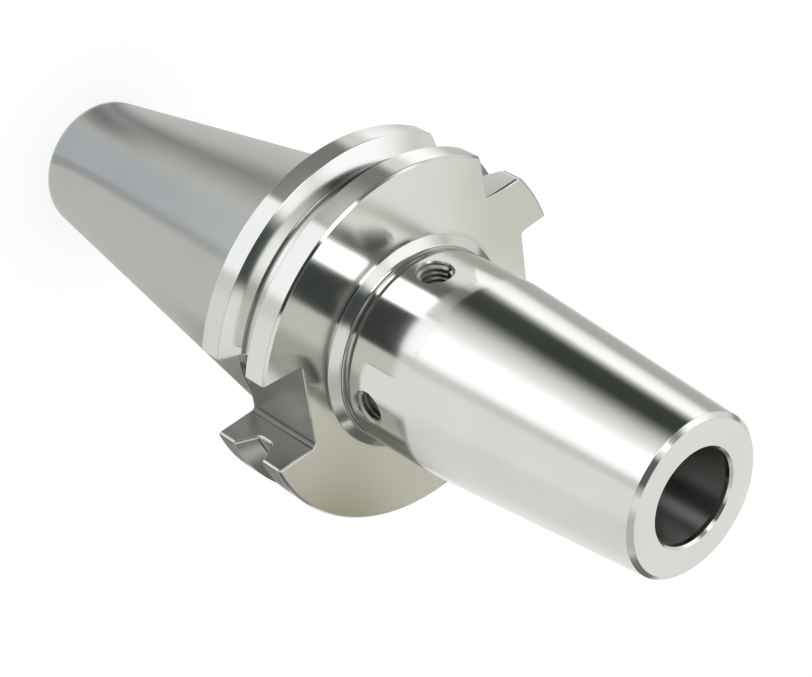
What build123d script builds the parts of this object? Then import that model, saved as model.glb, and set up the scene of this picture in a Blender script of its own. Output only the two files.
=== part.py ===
from build123d import *
import math
import os

# Shrink fit holder: a steep-taper shank, a gripper flange and a slim conical nose
# with the ground bore that a cutter's shank is shrunk into. It is one piece of steel,
# turned, milled and ground.
#
# Millimetres. Z is the spindle axis with the nose up, and Z = 0 is the gauge plane,
# where the taper has its nominal diameter. +X points to the shallower drive slot.

# Steep taper shank
gauge_diameter = 44.45
taper_ratio = 7 / 24  # loss of diameter for each unit of length
shank_length = 68.4  # gauge plane to the small end
shank_end_chamfer = 0.5
taper_run_out = 0.6  # the taper goes on this far past the gauge plane
back_relief_diameter = 43.4  # turned relief between the taper and the flange

# Gripper flange
flange_diameter = 63.55
flange_back = 3.2  # gauge plane to the flange's back face
flange_front = 19.1  # gauge plane to the flange's front face
flange_edge_chamfer = 0.4
groove_centre = 11.1  # gauge plane to the middle of the V groove
groove_angle = 60  # between the two flanks
groove_bottom_width = 2.86
groove_bottom_diameter = 56.25

# Drive slots, milled right across the flange on opposite sides
slot_width = 16.1
slot_corner_radius = 0.8
shallow_slot_floor = 25.0  # axis to the floor, on the +X side
deep_slot_floor = 22.8  # axis to the floor, on the -X side

# Orientation notch, a V halfway between +X and +Y
notch_angle = 90
notch_root = 25.8  # axis to the root of the V
notch_direction = 45

# Neck and nose
gauge_length = 80.0  # gauge plane to the nose face
nose_diameter = 27.0
nose_half_angle = 4.5
nose_edge_chamfer = 0.7
neck_diameter = 34.0  # the neck is a cylinder up to where the cone reaches this size
neck_relief_depth = 0.3
neck_foot_width = 1.9  # slanted corner between the relief and the flange face, across the axis
neck_foot_height = 1.15  # the same corner along the axis
neck_relief_flat = 2.4  # flange face to the end of the relief's flat bottom
neck_relief_length = 3.35  # flange face to the full neck diameter

# Tool bore, stop screw thread and coolant hole
bore_diameter = 16.0
bore_depth = 50.0
bore_entry_chamfer = 0.4
stop_thread_minor_diameter = 10.92
stop_thread_length = 22.0
coolant_diameter = 8.0
drill_point_angle = 118

# Pull stud socket in the small end
pilot_diameter = 17.0
pilot_depth = 7.5
pilot_entry_chamfer = 0.5
pull_thread_minor_diameter = 13.835
pull_thread_depth = 32.0  # small end to the end of the thread

# Tapped balancing holes around the neck
balance_count = 4
balance_height = 26.45  # gauge plane to the ring of holes
balance_minor_diameter = 4.917
balance_depth = 8.0  # neck surface to the end of the full diameter
balance_countersink_diameter = 6.6
balance_countersink_angle = 90


# Radius of the taper at height z.
def taper_radius(z):
    return gauge_diameter / 2 + z * taper_ratio / 2


# Length of the cone that takes a hole from one radius to a smaller one.
def drill_step(large_radius, small_radius):
    return (large_radius - small_radius) / math.tan(math.radians(drill_point_angle / 2))


nose_slope = math.tan(math.radians(nose_half_angle))
nose_radius = nose_diameter / 2
neck_radius = neck_diameter / 2
cone_start = gauge_length - (neck_radius - nose_radius) / nose_slope
flange_radius = flange_diameter / 2


# Half section of the outside, from the small end up to the nose face.
def outside_section():
    end_radius = taper_radius(-shank_length)
    chamfer_top = -shank_length + shank_end_chamfer
    groove_radius = groove_bottom_diameter / 2
    groove_floor_half = groove_bottom_width / 2
    flank_run = (flange_radius - groove_radius) * math.tan(math.radians(groove_angle / 2))
    groove_mouth_half = groove_floor_half + flank_run
    relief_radius = neck_radius - neck_relief_depth
    with BuildSketch(Plane.XZ) as section:
        with BuildLine():
            Polyline(
                (0, -shank_length),
                (end_radius - shank_end_chamfer, -shank_length),
                (taper_radius(chamfer_top), chamfer_top),
                (taper_radius(taper_run_out), taper_run_out),
                (back_relief_diameter / 2, taper_run_out),
                (back_relief_diameter / 2, flange_back),
                (flange_radius - flange_edge_chamfer, flange_back),
                (flange_radius, flange_back + flange_edge_chamfer),
                (flange_radius, groove_centre - groove_mouth_half),
                (groove_radius, groove_centre - groove_floor_half),
                (groove_radius, groove_centre + groove_floor_half),
                (flange_radius, groove_centre + groove_mouth_half),
                (flange_radius, flange_front - flange_edge_chamfer),
                (flange_radius - flange_edge_chamfer, flange_front),
                (relief_radius + neck_foot_width, flange_front),
                (relief_radius, flange_front + neck_foot_height),
                (relief_radius, flange_front + neck_relief_flat),
                (neck_radius, flange_front + neck_relief_length),
                (neck_radius, cone_start),
                (nose_radius + nose_edge_chamfer * nose_slope, gauge_length - nose_edge_chamfer),
                (nose_radius - nose_edge_chamfer, gauge_length),
                (0, gauge_length),
                (0, -shank_length),
            )
        make_face()
    return section.sketch


# Half section of the holes on the axis, from the pull stud's pilot up to the tool bore.
def inside_section():
    pilot_radius = pilot_diameter / 2
    pilot_top = -shank_length + pilot_depth
    pull_radius = pull_thread_minor_diameter / 2
    pull_top = -shank_length + pull_thread_depth
    coolant_radius = coolant_diameter / 2
    stop_radius = stop_thread_minor_diameter / 2
    bore_radius = bore_diameter / 2
    bore_bottom = gauge_length - bore_depth
    stop_bottom = bore_bottom - stop_thread_length
    with BuildSketch(Plane.XZ) as section:
        with BuildLine():
            Polyline(
                (0, -shank_length),
                (pilot_radius + pilot_entry_chamfer, -shank_length),
                (pilot_radius, -shank_length + pilot_entry_chamfer),
                (pilot_radius, pilot_top),
                (pull_radius, pilot_top),
                (pull_radius, pull_top),
                (coolant_radius, pull_top + drill_step(pull_radius, coolant_radius)),
                (coolant_radius, stop_bottom - drill_step(stop_radius, coolant_radius)),
                (stop_radius, stop_bottom),
                (stop_radius, bore_bottom),
                (bore_radius, bore_bottom),
                (bore_radius, gauge_length - bore_entry_chamfer),
                (bore_radius + bore_entry_chamfer, gauge_length),
                (0, gauge_length),
                (0, -shank_length),
            )
        make_face()
    return section.sketch


# Cutter for one drive slot: a bar with its two floor corners rounded, along the axis.
def slot_cutter(floor_distance, direction):
    reach = flange_radius + slot_width - floor_distance
    with BuildPart() as cutter:
        with BuildSketch(Plane.XY.offset(flange_back - flange_edge_chamfer)):
            with Locations((floor_distance + reach / 2, 0)):
                Rectangle(reach, slot_width)
            fillet(vertices().group_by(Axis.X)[0], slot_corner_radius)
        extrude(amount=flange_front - flange_back + 2 * flange_edge_chamfer)
    return cutter.part.rotate(Axis.Z, direction)


# Cutter for the orientation notch: a V with its root towards the axis.
def notch_cutter():
    reach = flange_diameter - notch_root
    half_width = reach * math.tan(math.radians(notch_angle / 2))
    with BuildPart() as cutter:
        with BuildSketch(Plane.XY.offset(flange_back - flange_edge_chamfer)):
            with BuildLine():
                Polyline(
                    (notch_root, 0),
                    (notch_root + reach, half_width),
                    (notch_root + reach, -half_width),
                    (notch_root, 0),
                )
            make_face()
        extrude(amount=flange_front - flange_back + 2 * flange_edge_chamfer)
    return cutter.part.rotate(Axis.Z, notch_direction)


# Cutter for one tapped hole: its half section turned about +X, then set on the neck.
def balance_hole_cutter(direction):
    hole_radius = balance_minor_diameter / 2
    mouth_radius = balance_countersink_diameter / 2
    flare = math.tan(math.radians(balance_countersink_angle / 2))
    sink_depth = (mouth_radius - hole_radius) / flare
    bottom = neck_radius - balance_depth
    tip = bottom - drill_step(hole_radius, 0)
    outer = neck_radius + mouth_radius
    with BuildPart() as cutter:
        with BuildSketch(Plane.XY):
            with BuildLine():
                Polyline(
                    (tip, 0),
                    (bottom, hole_radius),
                    (neck_radius - sink_depth, hole_radius),
                    (outer, mouth_radius + (outer - neck_radius) * flare),
                    (outer, 0),
                    (tip, 0),
                )
            make_face()
        revolve(axis=Axis.X)
    return cutter.part.moved(Location((0, 0, balance_height))).rotate(Axis.Z, direction)


def make_holder():
    with BuildPart() as holder:
        add(revolve(outside_section(), Axis.Z))
        add(revolve(inside_section(), Axis.Z), mode=Mode.SUBTRACT)
        add(slot_cutter(shallow_slot_floor, 0), mode=Mode.SUBTRACT)
        add(slot_cutter(deep_slot_floor, 180), mode=Mode.SUBTRACT)
        add(notch_cutter(), mode=Mode.SUBTRACT)
        for index in range(balance_count):
            add(balance_hole_cutter(360 * index / balance_count), mode=Mode.SUBTRACT)
    return holder.part


os.makedirs("parts", exist_ok=True)
export_step(make_holder(), "parts/holder_body.step")
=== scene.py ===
import bpy
import numpy as np
from mathutils import Matrix, Vector
from mathutils.geometry import tessellate_polygon


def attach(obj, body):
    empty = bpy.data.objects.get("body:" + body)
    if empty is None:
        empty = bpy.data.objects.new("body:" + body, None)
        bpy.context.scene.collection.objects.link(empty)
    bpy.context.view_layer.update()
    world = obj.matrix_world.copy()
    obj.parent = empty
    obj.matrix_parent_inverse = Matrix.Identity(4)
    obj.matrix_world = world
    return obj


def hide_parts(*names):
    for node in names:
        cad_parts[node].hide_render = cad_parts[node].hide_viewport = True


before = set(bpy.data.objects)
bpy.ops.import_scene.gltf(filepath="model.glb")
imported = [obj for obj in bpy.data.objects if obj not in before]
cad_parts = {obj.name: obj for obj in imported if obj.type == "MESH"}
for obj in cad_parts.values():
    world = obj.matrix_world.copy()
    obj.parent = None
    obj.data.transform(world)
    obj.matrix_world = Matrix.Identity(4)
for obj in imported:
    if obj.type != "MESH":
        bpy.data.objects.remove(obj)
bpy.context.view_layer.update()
print("frame loaded")

# Sizes are in millimetres until the mesh is made. z is the height above the gauge plane.
mm = 0.001
turns = 240        # segments round the spindle axis
coreTurns = 60     # segments round the narrow holes inside
arcSteps = 4       # segments of a rounded corner
slotSteps = 8      # segments of a slot's round corner

# Finishes. Every face carries its own finish's values for the material: roughness, tone (share of the
# steel's brightness; where it is low at the groove's bottom corners, the slots' round corners, the
# milled slot walls and the honed bore, it is painted shade of those hollows), lines (depth of the tool
# marks), milled (1 where they run along the axis) and grain (how far the marks stretch a highlight).
finishes = {
    "ground": {"roughness": 0.14, "toneAndShade": 1.0, "lines": 0.15, "milled": 0, "grain": 0.8},
    "faced": {"roughness": 0.155, "toneAndShade": 1.0, "lines": 0.1, "milled": 0, "grain": 0.8},
    "neck": {"roughness": 0.09, "toneAndShade": 1.0, "lines": 0.12, "milled": 0, "grain": 0.8},
    "rim": {"roughness": 0.11, "toneAndShade": 1.0, "lines": 0.12, "milled": 0, "grain": 0.8},
    # painted shade: the low tone of corner and slotCorner darkens the groove's bottom corners and the
    # slots' round corners
    "corner": {"roughness": 0.25, "toneAndShade": 0.4, "lines": 0.1, "milled": 0, "grain": 0.8},
    "slotCorner": {"roughness": 0.3, "toneAndShade": 0.32, "lines": 0.1, "milled": 1, "grain": 0.8},
    "recess": {"roughness": 0.1, "toneAndShade": 0.95, "lines": 0.12, "milled": 0, "grain": 0.8},
    "taper": {"roughness": 0.25, "toneAndShade": 0.9, "lines": 0.35, "milled": 0, "grain": 0.8},
    # painted shade: a tone of 0.56 darkens the milled slot walls and floors
    "milled": {"roughness": 0.24, "toneAndShade": 0.56, "lines": 0.35, "milled": 1, "grain": 0.8},
    "notched": {"roughness": 0.2, "toneAndShade": 0.85, "lines": 0.25, "milled": 1, "grain": 0.8},
    "bored": {"roughness": 0.24, "toneAndShade": 0.85, "lines": 0.3, "milled": 0, "grain": 0.8},
    # painted shade: a tone of 0.4 darkens the honed bore
    "honed": {"roughness": 0.41, "toneAndShade": 0.4, "lines": 0.3, "milled": 0, "grain": 1.0},
    "tapped": {"roughness": 0.35, "toneAndShade": 0.75, "lines": 0.2, "milled": 0, "grain": 0.8},
}
finishNames = list(finishes)

# The holder's skin, collected patch by patch as quads
surface = {"corners": [], "normals": [], "finish": []}


# Cuts a grid of points into quads. Every corner keeps the normal of its own grid point. finish is
# one name, or one name for each column of quads.
def addGrid(points, normals, finish):
    def quads(grid):
        corners = [grid[:-1, :-1], grid[1:, :-1], grid[1:, 1:], grid[:-1, 1:]]
        return np.stack(corners, axis=2).reshape(-1, 4, 3)

    surface["corners"].append(quads(points))
    surface["normals"].append(quads(np.broadcast_to(normals, points.shape)))
    columns = [finish] * (points.shape[1] - 1) if isinstance(finish, str) else finish
    numbers = [finishNames.index(name) for name in columns]
    surface["finish"].append(np.tile(numbers, points.shape[0] - 1))


# Fills a flat outline and the holes in it. lift carries the flat points to their place.
def addPlate(outlines, lift, normal, finish):
    flat = np.concatenate(outlines)
    rings = [np.c_[outline, np.zeros(len(outline))].tolist() for outline in outlines]
    triangles = np.array(tessellate_polygon(rings))
    corners = lift(flat)[triangles][:, [0, 1, 2, 2]]
    surface["corners"].append(corners)
    surface["normals"].append(np.broadcast_to(np.asarray(normal, float), corners.shape))
    surface["finish"].append(np.full(len(corners), finishNames.index(finish)))


# Puts flat (x, y) pairs at one height.
def atHeight(flat, height):
    return np.c_[flat, np.full(len(flat), height)]


# A plate square to the axis. facing is 1 towards the nose and -1 towards the small end.
def addLevelPlate(outlines, height, facing, finish):
    addPlate(outlines, lambda flat: atHeight(flat, height), (0, 0, facing), finish)


# A line through the corners, each rounded by an arc that touches both of its runs. The arc's centre
# lies radius * tan(turn / 2) back from the corner and one radius to the side.
# The normals point to the right of the way along, which is outside when the metal is on the left.
def roundedPath(corners, radii, steps=arcSteps):
    corners = np.asarray(corners, float)
    runs = np.diff(corners, axis=0)
    runs /= np.linalg.norm(runs, axis=1)[:, None]
    right = np.stack([runs[:, 1], -runs[:, 0]], axis=1)
    before, after = runs[:-1], runs[1:]
    cross = before[:, 0] * after[:, 1] - before[:, 1] * after[:, 0]
    turn = np.arctan2(cross, (before * after).sum(axis=1))
    radii = np.broadcast_to(np.asarray(radii, float), turn.shape)
    bulge = (np.sign(turn) * radii)[:, None]
    back = (radii * np.tan(abs(turn) / 2))[:, None]
    centres = corners[1:-1] - before * back - bulge * right[:-1]
    angle = turn[:, None] * np.linspace(0, 1, steps + 1)
    cos, sin = np.cos(angle), np.sin(angle)
    arcNormals = np.stack([
        cos * right[:-1, :1] - sin * right[:-1, 1:],
        sin * right[:-1, :1] + cos * right[:-1, 1:],
    ], axis=2)
    arcs = centres[:, None] + bulge[:, None] * arcNormals
    points = np.concatenate([corners[:1], arcs.reshape(-1, 2), corners[-1:]])
    normals = np.concatenate([right[:1], arcNormals.reshape(-1, 2), right[-1:]])
    return points, normals


# Carries (radius, height) pairs round the axis: x = r cos, y = r sin, z = height.
def around(pairs, theta):
    radius, height = pairs[:, 0], pairs[:, 1]
    return np.stack([radius * np.cos(theta), radius * np.sin(theta), height + 0 * theta], axis=2)


# Angles of a full turn in equal steps. The last one closes the turn.
def circle(count):
    return np.linspace(0, 2 * np.pi, count + 1)[:, None]


# A circle in plan, as (x, y) pairs.
def flatRing(radius, count):
    theta = circle(count)[:-1]
    return radius * np.concatenate([np.cos(theta), np.sin(theta)], axis=1)


# A surface of revolution: the rounded line through (radius, height) corners, carried round the axis.
def addTurned(corners, radii, finish, count=turns, steps=arcSteps):
    points, normals = roundedPath(corners, radii, steps)
    addGrid(around(points, circle(count)), around(normals, circle(count)), finish)


# The wall of a tapped hole. Its radius steps between crest and root, and each row of the grid
# climbs along the helix: height = low + pitch * (row + angle / full turn), held between both ends.
# Above sink the wall is never narrower than the 45 degree countersink: crest + height - sink.
# The groove deepens over its first half pitch.
def addThread(hole, low, high, crest, root, pitch, angle, sink):
    knots = np.array([0, 0.25, 0.5625, 0.6875])     # one pitch: flat crest, flank, root, flank
    rise = np.array([0, 0, 1, 1])
    turnCount = int(np.ceil((high - low) / pitch)) + 2
    rows = (np.arange(turnCount)[:, None] + knots).ravel()
    level = np.tile(rise, turnCount)
    height = np.clip(low + pitch * (rows - 1 + angle[:, None] / (2 * np.pi)), low, high)
    runOut = np.clip((height - low) / (0.5 * pitch), 0, 1)
    radius = np.maximum(crest + (root - crest) * level * runOut, crest + height - sink)
    points = hole(angle[:, None], radius, height)
    towardsAxis = hole(angle[:, None], 0 * height, height) - points
    along = np.gradient(points, axis=0)
    for row in range(len(rows) - 1):
        strip = points[:, row:row + 2]
        across = strip[:, 1:] - strip[:, :1]
        normals = np.cross(along[:, row:row + 2], across)
        size = np.linalg.norm(normals, axis=2, keepdims=True)
        normals = np.where(size > 1e-9, normals / np.maximum(size, 1e-9), towardsAxis[:, row:row + 2])
        facing = np.sign((normals * towardsAxis[:, row:row + 2]).sum(axis=2, keepdims=True))
        addGrid(strip, normals * facing, "tapped")


# Places a hole's (angle, radius, height) on the spindle axis: x = r cos, y = r sin, z = height.
def onSpindle(angle, radius, height):
    return np.stack([radius * np.cos(angle), radius * np.sin(angle), height + 0 * angle], axis=-1)


# The same for a hole that goes in from the small end: its height counts downwards.
def fromSmallEnd(angle, radius, height):
    return onSpindle(-angle, radius, -height)


# Shank: the 7/24 taper, its small end and the relief behind the flange
shank = {
    "gaugeRadius": 22.225,
    "slope": 7 / 48,           # of the radius along the axis
    "smallEnd": -68.4,
    "endChamfer": 0.5,
    "topRing": -1.0,           # a ring that keeps the taper's long faces off its top edge
    "taperTop": 0.6,
    "shoulderRadius": 21.9,    # the shoulder at the taper's top has the taper's finish down to here
    "reliefRadius": 21.7,
    "reliefRounds": (0.1, 0.4),    # at the shoulder and at the flange
    "faceRadius": 22.15,       # the flange's flat back face starts here
    "edgeRadius": 0.12,
}

# Flange: V groove, chamfered rims, both drive slots and the notch
flange = {
    "radius": 31.775,
    "back": 3.2,
    "front": 19.1,
    "chamfer": 0.4,
    "faceRun": 4.0,            # the turned section starts and ends this far in on the faces
    "grooveCentre": 11.1,
    "grooveRadius": 28.125,
    "grooveFloorHalf": 1.43,
    "grooveFlank": np.radians(30),
    "grooveCorner": 0.9,
    "edgeRadius": 0.17,
    "edgeBreak": 0.2,          # width of the broken edges of the cuts' floors
    "wallBreak": 0.55,         # and of their walls
    "slotHalf": 8.05,
    "slotCorner": 0.8,
    "slotFloors": {0: 25.0, 180: 22.8},    # each slot's direction, and the axis to its floor
    "notchDirection": 45,
    "notchWall": 25.8 * np.sqrt(0.5),      # axis to each wall of the notch
    "notchCorner": 0.15,
}

# Neck and nose cone
neck = {
    "faceRadius": 19.2,        # the flange's flat front face starts here
    "footWidth": 1.9,          # slanted corner at the flange's face, across and along the axis
    "footHeight": 1.15,
    "reliefRadius": 16.7,
    "reliefTop": 21.5,
    "start": 22.45,            # the full radius is reached here
    "radius": 17.0,
    "rounds": (0.3, 0.9, 0.3, 0.4),        # both ends of the foot, then of the ramp above the relief
    "roundSteps": 6,
    "coneRunIn": 1.0,          # the cone's finish starts this far before the cone
    "coneRound": 12.0,         # the neck leans over into the cone along this arc
    "noseSlope": np.tan(np.radians(4.5)),
    "noseRadius": 13.5,
    "noseTop": 80.0,
    "noseChamfer": 0.7,
    "edgeRadius": 0.12,
}

# Holes on the spindle axis, from the nose to the small end
core = {
    "boreRadius": 8.0,
    "boreBottom": 30.0,
    "entryChamfer": 0.4,
    "entryRound": 0.06,
    "lipLength": 1.2,          # the honed wall starts this far in
    "footLength": 0.5,         # and ends this far from the bore's floor
    "footRound": 0.2,
    "stopCrest": 5.46,
    "stopRoot": 6.0,
    "stopMouth": 6.2,
    "stopPitch": 1.0,
    "stopBottom": 8.0,
    "coolantRadius": 4.0,
    "coolantRound": 0.05,
    "pullTop": -36.4,
    "pullPitch": 2.0,
    "pullCrest": 6.9175,
    "pullRoot": 8.0,
    "pullMouth": 8.05,
    "pilotTop": -60.9,
    "pilotShoulder": 8.2,      # the pilot's wall runs on over its floor to here
    "pilotRadius": 8.5,
    "pilotChamfer": 0.5,
    "pilotRound": 0.1,
    "drillSlope": np.tan(np.radians(31)),  # rise of a drill's cone for each unit of radius
}

# Tapped balancing holes round the neck
tapped = {
    "count": 4,
    "height": 26.45,
    "mouthRadius": 3.3,
    "threadMouth": 3.05,       # the countersink runs down to here
    "crest": 2.4585,
    "root": 3.0,
    "pitch": 1.0,
    "depth": 8.0,
    "patchHalf": 3.63,         # half height of the patch of the neck round a hole
    "patchSegments": 8,        # segments of the neck from the hole's middle to the patch's side
    "patchRows": 5,
}


# Radius of the taper: gauge radius + slope * height.
def taperRadius(height):
    return shank["gaugeRadius"] + height * shank["slope"]


# Points on the neck's cylinder: normal = (cos, sin, 0), point = radius * normal, z = height.
def neckPoints(theta, height):
    theta, height = np.broadcast_arrays(theta, height)
    normals = np.stack([np.cos(theta), np.sin(theta), np.zeros(theta.shape)], axis=-1)
    points = neck["radius"] * normals
    points[..., 2] = height
    return points, normals


# Shank, from the floor of the pilot round the small end and up the taper to the flange's back face
def makeShank():
    end, top, ring = shank["smallEnd"], shank["taperTop"], shank["topRing"]
    chamferTop = end + shank["endChamfer"]
    edge, relief = shank["edgeRadius"], shank["reliefRadius"]
    pilot, chamfer = core["pilotRadius"], core["pilotChamfer"]
    middle = 0.5 * (pilot + taperRadius(end))      # of the small end's face
    addTurned(
        [
            (core["pilotShoulder"], core["pilotTop"]),
            (pilot, core["pilotTop"]),
            (pilot, end + chamfer),
            (pilot + chamfer, end),
            (middle, end),
        ],
        core["pilotRound"],
        "bored",
    )
    addTurned(
        [
            (middle, end),
            (taperRadius(end) - shank["endChamfer"], end),
            (taperRadius(chamferTop), chamferTop),
            (taperRadius(ring), ring),
        ],
        edge,
        "taper",
    )
    addTurned(
        [(taperRadius(ring), ring), (taperRadius(top), top), (shank["shoulderRadius"], top)],
        edge,
        "taper",
    )
    addTurned(
        [
            (shank["shoulderRadius"], top),
            (relief, top),
            (relief, flange["back"]),
            (shank["faceRadius"], flange["back"]),
        ],
        shank["reliefRounds"],
        "recess",
    )


# Everything on the spindle axis between the honed bore and the pilot
def makeCore():
    bore, floor = core["boreRadius"], core["boreBottom"]
    shoulder = 0.5 * (bore + core["stopRoot"])
    addTurned(
        [(bore, floor + core["footLength"]), (bore, floor), (shoulder, floor)],
        core["footRound"],
        "bored",
    )
    rings = [flatRing(shoulder, turns), flatRing(core["stopMouth"], coreTurns)]
    addLevelPlate(rings, floor, 1, "bored")
    angle = circle(coreTurns)[:, 0]
    stop, pull, coolant = core["stopCrest"], core["pullCrest"], core["coolantRadius"]
    stopFloor, pullFloor = core["stopBottom"], core["pullTop"]
    addThread(
        onSpindle, stopFloor, floor, stop, core["stopRoot"], core["stopPitch"],
        angle, floor - (core["stopMouth"] - stop),
    )
    addTurned(
        [
            (stop, stopFloor),
            (coolant, stopFloor - (stop - coolant) * core["drillSlope"]),
            (coolant, pullFloor + (pull - coolant) * core["drillSlope"]),
            (pull, pullFloor),
        ],
        core["coolantRound"],
        "tapped",
        coreTurns,
    )
    pilot = core["pilotTop"]
    addThread(
        fromSmallEnd, -pullFloor, -pilot, pull, core["pullRoot"], core["pullPitch"],
        angle, -pilot - (core["pullMouth"] - pull),
    )
    rings = [flatRing(core["pilotShoulder"], turns), flatRing(core["pullMouth"], coreTurns)]
    addLevelPlate(rings, pilot, -1, "bored")


# Neck and cone, from the flange's front face into the bore, without the neck round the tapped holes
def makeNose():
    low = tapped["height"] - tapped["patchHalf"]
    high = tapped["height"] + tapped["patchHalf"]
    front, radius, relief = flange["front"], neck["radius"], neck["reliefRadius"]
    addTurned(
        [
            (neck["faceRadius"], front),
            (relief + neck["footWidth"], front),
            (relief, front + neck["footHeight"]),
            (relief, neck["reliefTop"]),
            (radius, neck["start"]),
            (radius, low),
        ],
        neck["rounds"],
        "recess",
        steps=neck["roundSteps"],
    )
    top, slope, nose = neck["noseTop"], neck["noseSlope"], neck["noseRadius"]
    coneStart = top - (radius - nose) / slope
    runIn = coneStart - neck["coneRunIn"]
    chamfer, edge = neck["noseChamfer"], neck["edgeRadius"]
    bore, entry, lip = core["boreRadius"], core["entryChamfer"], top - core["lipLength"]
    addTurned([(radius, high), (radius, runIn)], [], "neck")
    addTurned(
        [
            (radius, runIn),
            (radius, coneStart),
            (nose + chamfer * slope, top - chamfer),
            (nose - chamfer, top),
            (bore + entry, top),
            (bore, top - entry),
            (bore, lip),
        ],
        [neck["coneRound"], edge, edge, core["entryRound"], core["entryRound"]],
        "ground",
    )
    addTurned([(bore, lip), (bore, core["boreBottom"] + core["footLength"])], [], "honed")


# Neck round the tapped holes. Between the holes it is a plain band. Round each hole a patch runs
# from the rim of the hole to a square: point = (1 - s) * rim + s * square, laid on the neck.
def makeNeckBand():
    segments, half = tapped["patchSegments"], tapped["patchHalf"]
    halfAngle = segments * 2 * np.pi / turns
    side = np.linspace(-1, 1, 2 * segments + 1)
    quarter = turns // tapped["count"]
    for number in range(tapped["count"]):
        direction = 2 * np.pi * number / tapped["count"]
        bandAngles = direction + 2 * np.pi * np.arange(segments, quarter - segments + 1) / turns
        points, normals = neckPoints(bandAngles[:, None], tapped["height"] + half * side[None, :])
        addGrid(points, normals, "neck")
        flat = np.ones(2 * segments)
        squareAcross = np.concatenate([side[:-1], flat, -side[:-1], -flat, -flat[:1]])
        squareUp = np.concatenate([-flat, side[:-1], flat, -side[:-1], -flat[:1]])
        angle = np.arctan2(squareUp * half, squareAcross * halfAngle * neck["radius"])
        radius = np.full(len(angle), tapped["mouthRadius"])
        for _ in range(8):     # nears the line where the countersink meets the round neck
            drop = neck["radius"] - np.sqrt(neck["radius"] ** 2 - (radius * np.cos(angle)) ** 2)
            radius = tapped["mouthRadius"] - drop
        rimTheta = direction + np.arcsin(radius * np.cos(angle) / neck["radius"])
        rimHeight = tapped["height"] + radius * np.sin(angle)
        squareTheta = direction + squareAcross * halfAngle
        squareHeight = tapped["height"] + squareUp * half
        s = np.linspace(0, 1, tapped["patchRows"] + 1)[None, :]
        points, normals = neckPoints(
            rimTheta[:, None] * (1 - s) + squareTheta[:, None] * s,
            rimHeight[:, None] * (1 - s) + squareHeight[:, None] * s,
        )
        addGrid(points, normals, "neck")
        makeTappedHole(direction, angle, points[:, 0])


# One tapped hole: countersink, thread and drill cone about a line that leaves the axis at direction.
def makeTappedHole(direction, angle, rim):
    out = np.array([np.cos(direction), np.sin(direction), 0])
    across = np.array([-np.sin(direction), np.cos(direction), 0])
    up = np.array([0, 0, 1.0])
    middle = tapped["height"] * up

    def hole(turnAngle, radius, height):
        reach = radius * np.cos(turnAngle), radius * np.sin(turnAngle), height + 0 * turnAngle
        sideways, upwards, outwards = (part[..., None] for part in reach)
        return middle + sideways * across + upwards * up + outwards * out

    crest, mouth = tapped["crest"], tapped["threadMouth"]
    sinkFloor = neck["radius"] - (tapped["mouthRadius"] - crest)
    threadTop = neck["radius"] - (tapped["mouthRadius"] - mouth)
    bottom = neck["radius"] - tapped["depth"]
    ring = hole(angle, np.full(len(angle), mouth), np.full(len(angle), threadTop))
    inward = -(np.cos(angle)[:, None] * across + np.sin(angle)[:, None] * up)
    sinkNormal = (inward + out) * np.sqrt(0.5)
    addGrid(np.stack([rim, ring], axis=1), sinkNormal[:, None] + 0 * ring[:, None], "tapped")
    addThread(hole, bottom, threadTop, crest, tapped["root"], tapped["pitch"], angle, sinkFloor)
    floorRing = hole(angle, np.full(len(angle), crest), np.full(len(angle), bottom))
    tip = np.broadcast_to(middle + (bottom - crest * core["drillSlope"]) * out, floorRing.shape)
    drillNormal = inward * core["drillSlope"] + out
    drillNormal /= np.linalg.norm(drillNormal, axis=1, keepdims=True)
    addGrid(np.stack([floorRing, tip], axis=1), drillNormal[:, None], "tapped")


# The cuts across the flange, in their order round the axis. Each is an outline in plan with the metal
# on the left of the way along, then the finish of its walls and of each strip of its floor.
def flangeCuts():
    far = 2 * flange["radius"]
    half, wall = flange["slotHalf"], flange["notchWall"]
    notch = roundedPath([(far, wall), (wall, wall), (wall, far)], flange["notchCorner"])
    cuts = {flange["notchDirection"]: (*notch, "notched", ["milled"] * arcSteps)}
    slotFinish = ["slotCorner"] * slotSteps + ["milled"] + ["slotCorner"] * slotSteps
    for direction, floor in flange["slotFloors"].items():
        corners = [(far, -half), (floor, -half), (floor, half), (far, half)]
        points, normals = roundedPath(corners, flange["slotCorner"], slotSteps)
        turn = np.radians(direction)
        turned = np.array([[np.cos(turn), np.sin(turn)], [-np.sin(turn), np.cos(turn)]])
        cuts[direction] = points @ turned, normals @ turned, "milled", slotFinish
    return [cuts[direction] for direction in sorted(cuts)]


# Where a line from a point q along e leaves a circle: at q + s e, with
# s = -q.e + sqrt((q.e)^2 - q.q + r^2).
def reachCircle(q, e, radius):
    s = -q @ e + np.sqrt((q @ e) ** 2 - q @ q + radius ** 2)
    return s, q + s[..., None] * e


# The corners of a line drawn in by a width: each moves to where its two shifted runs meet,
# corner - width * (n1 + n2) / (1 + n1.n2). Its radius loses the width where the metal is convex and
# gains it where it is hollow.
def drawnIn(corners, radii, width):
    smallest = 0.02
    corners = np.asarray(corners, float)
    runs = np.diff(corners, axis=0)
    runs /= np.linalg.norm(runs, axis=1)[:, None]
    right = np.stack([runs[:, 1], -runs[:, 0]], axis=1)
    first, second = np.concatenate([right[:1], right]), np.concatenate([right, right[-1:]])
    shift = (first + second) / (1 + (first * second).sum(axis=1, keepdims=True))
    turn = runs[:-1, 0] * runs[1:, 1] - runs[:-1, 1] * runs[1:, 0]
    return corners - width * shift, np.maximum(np.asarray(radii) - np.sign(turn) * width, smallest)


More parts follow.
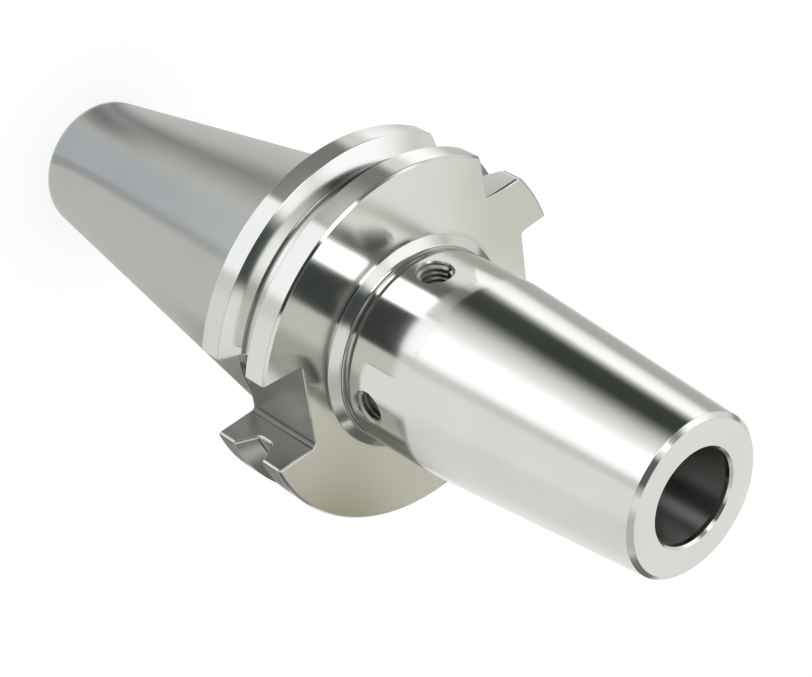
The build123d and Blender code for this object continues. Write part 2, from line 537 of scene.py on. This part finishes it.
# Flange: its section turned from cut to cut, the walls and floors of the cuts, and both flat faces.
def makeFlange():
    edge, groove, width = flange["edgeRadius"], flange["grooveCorner"], flange["wallBreak"]
    back, front, chamfer, run = (flange[name] for name in ("back", "front", "chamfer", "faceRun"))
    rim, bottom, middle = flange["radius"], flange["grooveRadius"], flange["grooveCentre"]
    floorHalf = flange["grooveFloorHalf"]
    mouthHalf = floorHalf + (rim - bottom) * np.tan(flange["grooveFlank"])
    corners = [
        (rim - run, back),
        (rim - chamfer, back),
        (rim, back + chamfer),
        (rim, middle - mouthHalf),
        (bottom, middle - floorHalf),
        (bottom, middle + floorHalf),
        (rim, middle + mouthHalf),
        (rim, front - chamfer),
        (rim - chamfer, front),
        (rim - run, front),
    ]
    rounds = [edge, edge, edge, groove, groove, edge, edge, edge]
    section, sectionNormals = (part[1:-1] for part in roundedPath(corners, rounds))
    inside = roundedPath(*drawnIn(corners, rounds, width))[0][1:-1]
    rimFinish = ["rim"] * (len(section) - 1)
    for corner in (3, 4):      # both corners at the bottom of the groove
        first = corner * (arcSteps + 1)
        rimFinish[first:first + arcSteps] = ["corner"] * arcSteps
    radii = section[:, 0]
    cuts = flangeCuts()
    sides = []        # per cut: angle of the rim where the cut begins and where it ends
    for points, normals, wallFinish, floorFinish in cuts:
        pair = []
        for inner, outer in ((1, 0), (-2, -1)):
            foot, wallNormal = points[inner], normals[outer]
            along = (points[outer] - foot) / np.linalg.norm(points[outer] - foot)
            reach = reachCircle(foot, along, inside[:, 0])[0]
            breakPoints = reachCircle(foot - width * wallNormal, along, radii)[1]
            theta = np.arctan2(breakPoints[:, 1], breakPoints[:, 0])
            pair.append(theta)
            rimPoints = around(section, theta[None, :])[0]
            rimNormals = around(sectionNormals, theta[None, :])[0]
            wall = np.stack([reach, inside[:, 1]], axis=1)
            makeCutWall(foot, along, wallNormal, wall, rimPoints, rimNormals, wallFinish)
        sides.append(pair)
        makeCutFloor(points[1:-1], normals[1:-1], floorFinish)
    outline = {back: [], front: []}
    for number, (points, normals, _, _) in enumerate(cuts):
        begin, end = sides[number][1], sides[(number + 1) % len(cuts)][0]
        span = (end - begin) % (2 * np.pi)
        count = int(np.ceil(span.max() / (2 * np.pi) * turns))
        theta = begin + span * np.linspace(0, 1, count + 1)[:, None]
        addGrid(around(section, theta), around(sectionNormals, theta), rimFinish)
        floorEdge = points[1:-1] - flange["edgeBreak"] * normals[1:-1]
        for height, column in ((back, 0), (front, -1)):
            ends = theta[:, column]
            arc = radii[column] * np.stack([np.cos(ends), np.sin(ends)], axis=1)
            outline[height] += [floorEdge, arc]
    for height, facing, hole, finish in (
        (back, -1, shank["faceRadius"], "rim"),
        (front, 1, neck["faceRadius"], "faced"),
    ):
        outlines = [np.concatenate(outline[height]), flatRing(hole, turns)]
        addLevelPlate(outlines, height, facing, finish)


# One flat wall of a cut with its broken edge. wall is the flange's section drawn in by the width of
# the break, as (reach, height) pairs: point = foot + reach * along. The break is the strip between
# it and the section on the turned faces.
def makeCutWall(foot, along, wallNormal, wall, rimPoints, rimNormals, finish):
    broken = flange["edgeBreak"]
    low, high = flange["back"], flange["front"]
    wall = np.concatenate([[(0, low + broken)], wall, [(0, high - broken)]])

    def lift(flat):
        return np.concatenate([foot + flat[:, :1] * along, flat[:, 1:]], axis=1)

    wallNormal3 = np.append(wallNormal, 0)
    addPlate([wall], lift, wallNormal3, finish)
    footEdge = foot - broken * wallNormal
    rimPoints = np.concatenate([[(*footEdge, low)], rimPoints, [(*footEdge, high)]])
    rimNormals = np.concatenate([[(0, 0, -1)], rimNormals, [(0, 0, 1)]])
    addGrid(
        np.stack([rimPoints, lift(wall)]),
        np.stack([rimNormals, np.broadcast_to(wallNormal3, rimNormals.shape)]),
        "rim",
    )


# The floor of a cut and its round corners, carried straight through the flange with both edges broken.
def makeCutFloor(points, normals, finish):
    broken = flange["edgeBreak"]
    low, high = flange["back"], flange["front"]
    edge = points - broken * normals
    rows = [
        (atHeight(edge, low), atHeight(0 * normals, -1)),
        (atHeight(points, low + broken), atHeight(normals, 0)),
        (atHeight(points, high - broken), atHeight(normals, 0)),
        (atHeight(edge, high), atHeight(0 * normals, 1)),
    ]
    for first, second, strip in zip(rows, rows[1:], ("rim", finish, "rim")):
        addGrid(np.stack([first[0], second[0]]), np.stack([first[1], second[1]]), strip)


# Welds all patches into one closed mesh. Faces whose corner order looks inwards are turned round,
# corners on one spot share a vertex, and each face keeps the normals of its own patch. A face is an
# edge as far as it bulges: bulge = (turn of the normal along a diagonal) / (length of the diagonal).
def weldSurface(name):
    weld = 0.00015     # corners nearer than this are one point
    fullBulge = 4      # a face that bulges so far is all edge
    corners = np.concatenate(surface["corners"])
    normals = np.concatenate(surface["normals"])
    finish = np.concatenate(surface["finish"])
    across = np.cross(corners[:, 2] - corners[:, 0], corners[:, 3] - corners[:, 1])
    inward = (across * normals.sum(axis=1)).sum(axis=1) < 0
    corners[inward] = corners[inward, ::-1]
    normals[inward] = normals[inward, ::-1]
    spots, index = np.unique(
        np.round(corners.reshape(-1, 3) / weld).astype(np.int64), axis=0, return_inverse=True,
    )
    index = index.reshape(-1, 4)
    kept = index != np.roll(index, -1, axis=1)
    solid = kept.sum(axis=1) > 2
    diagonal = corners[:, 2:] - corners[:, :2]
    turn = normals[:, 2:] - normals[:, :2]
    bulge = (diagonal * turn).sum(axis=2) / np.maximum((diagonal ** 2).sum(axis=2), 1e-6)
    edge = np.clip(bulge.mean(axis=1) / fullBulge, 0, 1)[solid]
    index, kept, normals, finish = index[solid], kept[solid], normals[solid], finish[solid]
    counts = kept.sum(axis=1)
    mesh = bpy.data.meshes.new(name)
    mesh.vertices.add(len(spots))
    mesh.vertices.foreach_set("co", (spots * weld * mm).ravel())
    mesh.loops.add(int(counts.sum()))
    mesh.loops.foreach_set("vertex_index", index[kept])
    mesh.polygons.add(len(counts))
    mesh.polygons.foreach_set("loop_start", np.concatenate([[0], np.cumsum(counts)[:-1]]))
    mesh.polygons.foreach_set("use_smooth", np.ones(len(counts), bool))
    mesh.update(calc_edges=True)
    table = np.array([list(values.values()) for values in finishes.values()], float)[finish]
    for column, value in enumerate(next(iter(finishes.values()))):
        mesh.attributes.new(value, "FLOAT", "FACE").data.foreach_set("value", table[:, column])
    mesh.attributes.new("edge", "FLOAT", "FACE").data.foreach_set("value", edge)
    mesh.normals_split_custom_set(normals[kept].tolist())
    edgeUse = np.zeros(len(mesh.loops), int)
    mesh.loops.foreach_get("edge_index", edgeUse)
    openEdges = int((np.bincount(edgeUse, minlength=len(mesh.edges)) != 2).sum())
    triangles = int((counts - 2).sum())
    print(f"{name}: {len(spots)} vertices, {triangles} triangles, {openEdges} open edges")
    return mesh


makeShank()
makeCore()
makeNose()
makeNeckBand()
makeFlange()
holder = bpy.data.objects.new("holderBody", weldSurface("holderBody"))
bpy.context.scene.collection.objects.link(holder)
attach(holder, "root")
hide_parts("holder_body")
print("holder built")


# Steel. Sizes are in millimetres.
steel = {
    "colour": (0.72, 0.73, 0.68),
    "lineWidth": 0.3,          # of the tool marks
    "lineDepth": 0.005,
    "lineLength": 5.0,         # where they run along the axis
    "lineRoughness": 0.1,
    "cloudSize": 14.0,         # of the faint patches on the metal
    "cloudTone": 0.14,         # how far the patches change the tone and the roughness
    "cloudRoughness": 0.06,
    "wornTone": 1.12,          # edges are brighter and rougher
    "wornRoughness": 0.15,
    "wornScale": 1.2,          # noise that breaks up the wear, and the part of its range that shows
    "wornRange": (0.35, 0.6),
}


# Adds a shader node. An input is given by its name or its number (i0, i1), as a value or as another
# node's output.
def addNode(tree, kind, settings=None, **inputs):
    made = tree.nodes.new(kind)
    for name, value in (settings or {}).items():
        setattr(made, name, value)
    for name, value in inputs.items():
        numbered = name[0] == "i" and name[1:].isdigit()
        socket = made.inputs[int(name[1:]) if numbered else name]
        if isinstance(value, bpy.types.NodeSocket):
            tree.links.new(value, socket)
        else:
            socket.default_value = value
    return made


# Arithmetic on values or other nodes' outputs.
def mathNode(tree, operation, *values):
    inputs = {f"i{number}": value for number, value in enumerate(values)}
    return addNode(tree, "ShaderNodeMath", {"operation": operation}, **inputs).outputs[0]


# An empty material with its node tree and its output node.
def newMaterial(name):
    material = bpy.data.materials.new(name)
    material.use_nodes = True
    tree = material.node_tree
    tree.nodes.clear()
    return material, tree, tree.nodes.new("ShaderNodeOutputMaterial")


# Places, in millimetres, for a pattern that runs round the axis: (x, y) / distance says which way the
# spot lies from the axis, with distance = sqrt(x * x + y * y).
def turnedPlace(tree):
    own = addNode(tree, "ShaderNodeTexCoord").outputs["Object"]
    spot = addNode(tree, "ShaderNodeVectorMath", {"operation": "SCALE"}, i0=own, Scale=1 / mm)
    x, y, z = addNode(tree, "ShaderNodeSeparateXYZ", i0=spot.outputs[0]).outputs
    squares = mathNode(tree, "MULTIPLY", x, x), mathNode(tree, "MULTIPLY", y, y)
    distance = mathNode(tree, "SQRT", mathNode(tree, "ADD", *squares))
    safe = mathNode(tree, "MAXIMUM", distance, 0.01)       # never divides by 0
    east, north = mathNode(tree, "DIVIDE", x, safe), mathNode(tree, "DIVIDE", y, safe)
    return spot.outputs[0], (x, y, z), east, north, distance


# Base colour = steel * tone * (1 + cloud), roughness = the finish's own + share of the marks + worn
# edges + cloud, and the marks are a noise that is stretched round the axis, or along it where it is
# milled. The highlight is stretched across the marks by the finish's grain. The tone carries painted
# shade where a finish is darkened: the groove's and slots' corners, the milled slot walls and the
# bore.
def makeSteel():
    material, tree, output = newMaterial("groundSteel")
    shader = addNode(tree, "ShaderNodeBsdfPrincipled", Metallic=1.0)
    shader.inputs["Anisotropic Rotation"].default_value = 0.25
    spot, (x, y, z), east, north, distance = turnedPlace(tree)

    def math(operation, *values):
        return mathNode(tree, operation, *values)

    def own(name):
        return addNode(tree, "ShaderNodeAttribute", {"attribute_name": name}).outputs["Fac"]

    def centred(value, size):
        return math("MULTIPLY", math("SUBTRACT", value, 0.5), size)

    def noise(place, scale, detail):
        made = addNode(tree, "ShaderNodeTexNoise", Vector=place, Scale=scale, Detail=detail)
        return made.outputs["Fac"]

    fine = 1 / steel["lineWidth"]
    outwards = math("MULTIPLY", distance, fine)
    rings = addNode(tree, "ShaderNodeCombineXYZ", i0=east, i1=north, i2=outwards)
    turned = addNode(
        tree, "ShaderNodeTexNoise", {"noise_dimensions": "4D"},
        Vector=rings.outputs[0], W=math("MULTIPLY", z, fine), Scale=1.0, Detail=2.0,
    ).outputs["Fac"]
    upwards = math("MULTIPLY", z, 1 / steel["lineLength"])
    sideways = math("MULTIPLY", x, fine), math("MULTIPLY", y, fine)
    runs = addNode(tree, "ShaderNodeCombineXYZ", i0=sideways[0], i1=sideways[1], i2=upwards)
    milled = noise(runs.outputs[0], 1.0, 2.0)
    marks = addNode(tree, "ShaderNodeMix", i0=own("milled"), i2=turned, i3=milled).outputs[0]
    depth = math("MULTIPLY", centred(marks, 1.0), own("lines"))
    lineDepth = steel["lineDepth"] * mm
    bump = addNode(tree, "ShaderNodeBump", Strength=1.0, Distance=lineDepth, Height=depth)

    cloud = noise(spot, 1 / steel["cloudSize"], 3.0)
    low, high = steel["wornRange"]
    speck = noise(spot, steel["wornScale"], 2.0)
    speck = addNode(tree, "ShaderNodeMapRange", i0=speck, i1=low, i2=high).outputs[0]
    worn = math("MULTIPLY", own("edge"), speck)
    # painted shade: the finish's low tone darkens corners, slots and the bore in the base colour
    toneAndShade = math("MULTIPLY", own("toneAndShade"), math("ADD", 1.0, centred(cloud, steel["cloudTone"])))
    brighter = addNode(tree, "ShaderNodeMapRange", i0=worn, i3=1.0, i4=steel["wornTone"]).outputs[0]
    toneAndShade = math("MULTIPLY", toneAndShade, brighter)
    colour = addNode(
        tree, "ShaderNodeVectorMath", {"operation": "SCALE"}, i0=steel["colour"], Scale=toneAndShade,
    )
    rough = math("ADD", own("roughness"), math("MULTIPLY", depth, steel["lineRoughness"]))
    rougher = math("MULTIPLY", worn, steel["wornRoughness"])
    rough = math("ADD", rough, math("ADD", rougher, centred(cloud, steel["cloudRoughness"])))
    tangent = addNode(tree, "ShaderNodeTangent", {"direction_type": "RADIAL", "axis": "Z"})
    for name, value in {
        "Base Color": colour.outputs[0],
        "Roughness": rough,
        "Normal": bump.outputs[0],
        "Anisotropic": own("grain"),
        "Tangent": tangent.outputs[0],
    }.items():
        tree.links.new(value, shader.inputs[name])
    tree.links.new(shader.outputs[0], output.inputs[0])
    return material


holder.data.materials.append(makeSteel())
print("steel ready")

# Studio: a white floor under an even white sky. The rings are only seen in the steel.
studio = {
    "floorHalf": 3.0,          # metres
    "floorColour": (0.36, 0.36, 0.36, 1),
    "floorGlow": 0.7,
    "skyColour": (1, 1, 1, 1),
    "skyInSteel": 0.3,
    "ringStep": 0.5,           # degrees between the columns of a ring
    "ringRows": 80,            # its rows, gathered towards its low edge by this power
    "ringGather": 2.5,
}

# Three rings round the spindle axis are all that the steel sees beside floor and sky: one lies on the
# floor, one stands overhead and a short one stands at the side. Their lengths are in millimetres. low
# and high: (distance from the axis, height) of a ring's edges. A panel takes a range of azimuth, from
# +X towards +Y in degrees, and a reach across the ring, by distance on the floor and by elevation
# elsewhere. soft and softReach are the widths of its faded sides. light is its colour, where 1 is
# white, and a panel lies over those before it.
everywhere = (-9999, 9999)
hard = (0.1, 0.1)
rings = {
    "floorRing": {
        "low": (12.6, -68.2),
        "high": (2500, -68.2),
        "span": (-180, 180),
        "measure": "distance",
        "plain": (0.93, 0.93, 0.93),
        "panels": {
            "shadeNear": {
                "azimuth": everywhere, "soft": hard,
                "reach": (0, 122), "softReach": (1, 50), "light": (0.68, 0.68, 0.68),
            },
            "greyBehind": {
                "azimuth": (-168, -90), "soft": (12, 25),
                "reach": (150, 9999), "softReach": (60, 1), "light": (0.86, 0.86, 0.85),
            },
            "shadeBehind": {
                "azimuth": (-156, -82), "soft": (16, 10),
                "reach": (52, 175), "softReach": (14, 40), "light": (0.26, 0.275, 0.25),
            },
            "greyRight": {
                "azimuth": (-44, 26), "soft": (34, 18),
                "reach": (85, 9999), "softReach": (40, 1), "light": (0.5, 0.5, 0.49),
            },
            "whiteRight": {
                "azimuth": (8, 46), "soft": (26, 10),
                "reach": (85, 9999), "softReach": (20, 1), "light": (1.35, 1.36, 1.42),
            },
            "darkNear": {
                "azimuth": (44, 102), "soft": (28, 44),
                "reach": (0, 85), "softReach": (1, 10), "light": (0.25, 0.27, 0.27),
            },
            "blackMiddle": {
                "azimuth": (50, 105), "soft": (8, 4),
                "reach": (84, 144), "softReach": (6, 12), "light": (0.24, 0.24, 0.24),
            },
            "blackRight": {
                "azimuth": (36, 102), "soft": (17, 32),
                "reach": (132, 9999), "softReach": (14, 1), "light": (0.048, 0.055, 0.049),
            },
            "greyMiddle": {
                "azimuth": (66, 107), "soft": (22, 10),
                "reach": (113, 150), "softReach": (8, 12), "light": (0.78, 0.78, 0.78),
            },
            "darkSmall": {
                "azimuth": (70, 112), "soft": (14, 26),
                "reach": (0, 30), "softReach": (1, 12), "light": (0.25, 0.26, 0.26),
            },
            "blueNear": {
                "azimuth": (96, 149), "soft": (20, 5),
                "reach": (0, 88), "softReach": (1, 10), "light": (0.57, 0.6, 0.66),
            },
            "whiteLeft": {
                "azimuth": (97, 151), "soft": (26, 18),
                "reach": (80, 9999), "softReach": (10, 1), "light": (1.6, 1.62, 1.72),
            },
            "whiteMiddle": {
                "azimuth": (101, 148), "soft": (4, 10),
                "reach": (84, 150), "softReach": (6, 12), "light": (1.2, 1.2, 1.27),
            },
            "lineLeft": {
                "azimuth": (141, 154), "soft": (4, 4),
                "reach": (0, 92), "softReach": (1, 20), "light": (0.45, 0.46, 0.5),
            },
            "lineFaint": {
                "azimuth": (144, 160), "soft": (6, 7),
                "reach": (80, 9999), "softReach": (20, 1), "light": (0.78, 0.78, 0.78),
            },
            "farLine": {
                "azimuth": (130, 160), "soft": (8, 6),
                "reach": (600, 9999), "softReach": (150, 1), "light": (0.12, 0.13, 0.13),
            },
            "farGrey": {
                "azimuth": (100, 122), "soft": (6, 8),
                "reach": (600, 9999), "softReach": (150, 1), "light": (0.5, 0.52, 0.52),
            },
        },
    },
    "skyRing": {
        "low": (900, 150),
        "high": (200, 1250),
        "span": (-180, 180),
        "measure": "elevation",
        "plain": (0.95, 0.95, 0.95),
        "panels": {
            "horizon": {
                "azimuth": everywhere, "soft": hard,
                "reach": (0, 30), "softReach": (1, 6), "light": (0.16, 0.16, 0.16),
            },
            "greyRight": {
                "azimuth": (-38, 30), "soft": (20, 20),
                "reach": (26, 62), "softReach": (6, 8), "light": (0.62, 0.62, 0.6),
            },
            "glowRight": {
                "azimuth": (-24, 42), "soft": (10, 12),
                "reach": (9, 32), "softReach": (3, 4), "light": (0.85, 0.85, 0.84),
            },
            "whiteRight": {
                "azimuth": (2, 58), "soft": (26, 10),
                "reach": (22, 90), "softReach": (6, 1), "light": (1.35, 1.36, 1.42),
            },
            "whiteHigh": {
                "azimuth": (-44, 34), "soft": (18, 20),
                "reach": (68, 90), "softReach": (6, 1), "light": (1.35, 1.36, 1.38),
            },
            "greyGap": {
                "azimuth": (44, 80), "soft": (18, 4),
                "reach": (26, 62), "softReach": (6, 10), "light": (0.2, 0.2, 0.19),
            },
            "whiteTop": {
                "azimuth": (76, 106.5), "soft": (5, 2),
                "reach": (26, 60), "softReach": (6, 8), "light": (3.2, 3.25, 3.45),
            },
            "shadeTop": {
                "azimuth": (80, 178), "soft": (12, 10),
                "reach": (54, 90), "softReach": (8, 1), "light": (0.3, 0.32, 0.32),
            },
            "whiteCrown": {
                "azimuth": (44, 95), "soft": (12, 16),
                "reach": (60, 90), "softReach": (8, 1), "light": (1.25, 1.26, 1.3),
            },
            "darkTop": {
                "azimuth": (93, 170), "soft": (12, 6),
                "reach": (62, 90), "softReach": (6, 1), "light": (0.07, 0.078, 0.08),
            },
            "blackTop": {
                "azimuth": (106, 158), "soft": (2, 4),
                "reach": (26, 66), "softReach": (6, 8), "light": (0.045, 0.052, 0.055),
            },
            "greyLeft": {
                "azimuth": (-174, -112), "soft": (16, 10),
                "reach": (26, 60), "softReach": (6, 8), "light": (0.6, 0.6, 0.57),
            },
            "shadeLeft": {
                "azimuth": (-118, -64), "soft": (10, 12),
                "reach": (26, 60), "softReach": (6, 8), "light": (0.15, 0.15, 0.13),
            },
        },
    },
    "sideRing": {
        "low": (100, 66),
        "high": (100, 122),
        "span": (-112, -16),
        "measure": "elevation",
        "plain": (0.95, 0.95, 0.95),
        "panels": {
            "warm": {
                "azimuth": (-108, -50), "soft": (6, 6),
                "reach": (30, 60), "softReach": (2, 5), "light": (0.64, 0.615, 0.55),
            },
            "brown": {
                "azimuth": (-86, -66), "soft": (8, 7),
                "reach": (36, 47.5), "softReach": (3, 6), "light": (0.33, 0.295, 0.2),
            },
            "shade": {
                "azimuth": (-113, -76), "soft": (1, 12),
                "reach": (34, 51), "softReach": (2, 3), "light": (0.2, 0.2, 0.17),
            },
            "pale": {
                "azimuth": (-38, -16), "soft": (2.5, 5),
                "reach": (30, 49.5), "softReach": (2, 4), "light": (0.77, 0.75, 0.7),
            },
        },
    },
}


# How far a value is inside a range, as 0 to 1: t * t * (3 - 2 t) over the soft width at each side.
def cover(value, reach, soft):
    t = np.clip(np.minimum((value - reach[0]) / soft[0], (reach[1] - value) / soft[1]), 0, 1)
    return t * t * (3 - 2 * t)


# A ring's surface: point(u, v) turns by u round the axis and goes by v from the low to the high edge.
# For each panel: glow = (1 - share) * what lies below + share * light, where the share is the
# product of its cover in azimuth and its cover in reach.
def makeRing(name, ring):
    first, last = ring["span"]
    azimuth = np.arange(first, last + studio["ringStep"] / 2, studio["ringStep"])[:, None]
    v = np.linspace(0, 1, studio["ringRows"] + 1)[None, :] ** studio["ringGather"]
    low, high = ring["low"], ring["high"]
    distance, height = (low[part] + (high[part] - low[part]) * v for part in (0, 1))
    turn = np.radians(azimuth)
    places = [distance * np.cos(turn), distance * np.sin(turn), height + 0 * turn]
    points = mm * np.stack(places, axis=2)
    elevation = np.degrees(np.arctan2(height, distance))
    measure = {"distance": distance, "elevation": elevation}[ring["measure"]]
    light = np.ones(points.shape) * ring["plain"]
    for panel in ring["panels"].values():
        sideways = cover(azimuth, panel["azimuth"], panel["soft"])
        share = (sideways * cover(measure, panel["reach"], panel["softReach"]))[..., None]
        light = light * (1 - share) + np.array(panel["light"]) * share
    rows, columns = light.shape[:2]
    corner = (np.arange(rows - 1)[:, None] * columns + np.arange(columns - 1)).ravel()
    faces = np.stack([corner, corner + columns, corner + columns + 1, corner + 1], axis=1)
    mesh = bpy.data.meshes.new(name)
    mesh.from_pydata(points.reshape(-1, 3).tolist(), [], faces.tolist())
    glow = mesh.attributes.new("glow", "FLOAT_COLOR", "POINT")
    opaque = np.concatenate([light, np.ones((rows, columns, 1))], axis=2)
    glow.data.foreach_set("color", opaque.ravel())
    material, tree, output = newMaterial(name)
    glow = addNode(tree, "ShaderNodeAttribute", {"attribute_name": "glow"})
    lamp = addNode(tree, "ShaderNodeEmission", Color=glow.outputs["Color"])
    tree.links.new(lamp.outputs[0], output.inputs[0])
    material.cycles.emission_sampling = "NONE"
    mesh.materials.append(material)
    piece = bpy.data.objects.new(name, mesh)
    bpy.context.scene.collection.objects.link(piece)
    piece.visible_camera = piece.visible_diffuse = piece.visible_shadow = False
    piece.visible_transmission = piece.visible_volume_scatter = False


# 1 for a ray from the camera, off metal or through glass, and 0 for the light that falls on things.
def seenDirectly(tree):
    path = addNode(tree, "ShaderNodeLightPath")
    seen = path.outputs["Is Camera Ray"]
    for ray in ("Is Glossy Ray", "Is Transmission Ray"):
        seen = mathNode(tree, "MAXIMUM", seen, path.outputs[ray])
    return seen


# Floor, sky and rings. The floor glows only for rays that see it directly, so it adds no light.
def makeStudio():
    half, low = studio["floorHalf"], shank["smallEnd"] * mm
    mesh = bpy.data.meshes.new("floor")
    corners = [(-half, -half, low), (half, -half, low), (half, half, low), (-half, half, low)]
    mesh.from_pydata(corners, [], [(0, 1, 2, 3)])
    floor = bpy.data.objects.new("floor", mesh)
    bpy.context.scene.collection.objects.link(floor)
    material, tree, output = newMaterial("floorWhite")
    paint = addNode(tree, "ShaderNodeBsdfDiffuse", Color=studio["floorColour"])
    strength = mathNode(tree, "MULTIPLY", seenDirectly(tree), studio["floorGlow"])
    glow = addNode(tree, "ShaderNodeEmission", Strength=strength)
    both = addNode(tree, "ShaderNodeAddShader", i0=paint.outputs[0], i1=glow.outputs[0])
    tree.links.new(both.outputs[0], output.inputs[0])
    material.cycles.emission_sampling = "NONE"
    floor.data.materials.append(material)
    world = bpy.data.worlds.new("studio")
    bpy.context.scene.world = world
    world.use_nodes = True
    sky = world.node_tree.nodes["Background"]
    sky.inputs["Color"].default_value = studio["skyColour"]
    glossy = addNode(world.node_tree, "ShaderNodeLightPath").outputs["Is Glossy Ray"]
    level = addNode(world.node_tree, "ShaderNodeMapRange", i0=glossy, i3=1.0, i4=studio["skyInSteel"])
    world.node_tree.links.new(level.outputs[0], sky.inputs["Strength"])
    bpy.context.scene.view_settings.view_transform = "Standard"
    for name, ring in rings.items():
        makeRing(name, ring)


makeStudio()

# Camera, found by fitting the taper, the rims of the flange and the nose ring in the picture
camera = {
    "place": (-191.46, 226.65, 268.60),    # millimetres
    "forward": (0.4913, -0.5833, -0.6468),
    "up": (0.4606, 0.8043, -0.3754),
    "lens": 105.97,
    "sensor": 36.0,
    "nearest": 0.01,           # metres
}


# Camera turned so that it looks along forward: right = forward x up, and up = right x forward.
def makeCamera():
    data = bpy.data.cameras.new("camera")
    data.lens = camera["lens"]
    data.sensor_width = camera["sensor"]
    data.sensor_fit = "HORIZONTAL"
    data.clip_start = camera["nearest"]
    lens = bpy.data.objects.new("camera", data)
    bpy.context.scene.collection.objects.link(lens)
    forward = Vector(camera["forward"]).normalized()
    right = forward.cross(Vector(camera["up"])).normalized()
    up = right.cross(forward)
    turn = Matrix((right, up, -forward)).transposed().to_4x4()
    lens.matrix_world = Matrix.Translation(Vector(camera["place"]) * mm) @ turn
    bpy.context.scene.camera = lens


makeCamera()
print("studio and camera ready")
